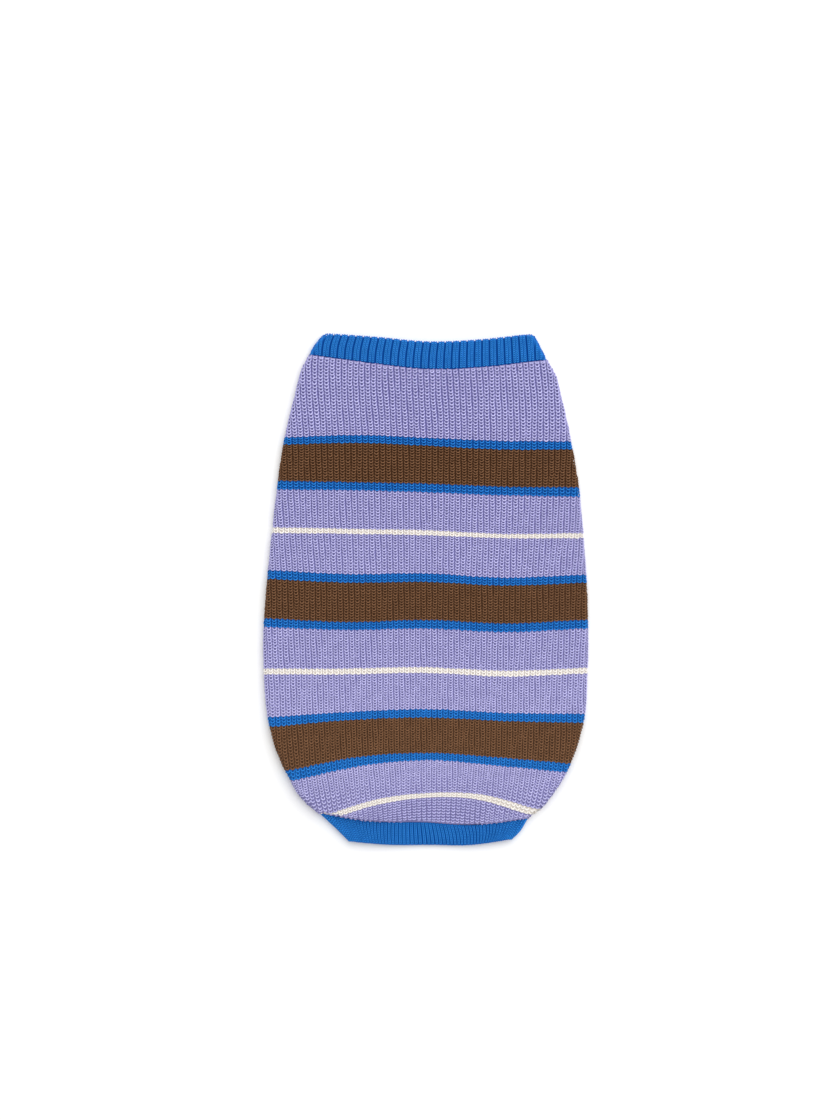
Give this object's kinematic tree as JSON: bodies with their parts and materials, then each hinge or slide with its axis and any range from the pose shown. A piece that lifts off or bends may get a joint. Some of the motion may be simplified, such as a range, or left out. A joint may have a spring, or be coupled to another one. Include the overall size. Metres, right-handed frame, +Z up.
{
  "type": "dog sweater",
  "caption": "Knitted dog sweater with broad colour stripes, a ribbed neck and hem and two bound leg openings, laid out flat on its belly side.",
  "frame": {"origin": "on the surface it lies on, under the middle of the garment's box", "axes": "+Z up from the surface, +Y along the garment towards the collar, +X to the right seen from above with the collar away from the viewer"},
  "size_m": [0.2271, 0.3582, 0.0128],
  "materials": {
    "knit_lavender": "chunky cotton knit, open V stitches, matt",
    "rib_blue": "cotton rib knit, folded at its edge, matt",
    "knit_blue": "chunky cotton knit, narrow stripe, matt",
    "knit_brown": "chunky cotton knit, broad stripe, matt",
    "knit_cream": "chunky cotton knit, two-course line, matt"
  },
  "bodies": {
    "root": {"back_panel": "knit_lavender", "belly_panel": "knit_lavender", "collar_rib": "rib_blue", "hem_rib": "rib_blue", "leg_rib_left": "rib_blue", "leg_rib_right": "rib_blue"}
  },
  "joints": []
}
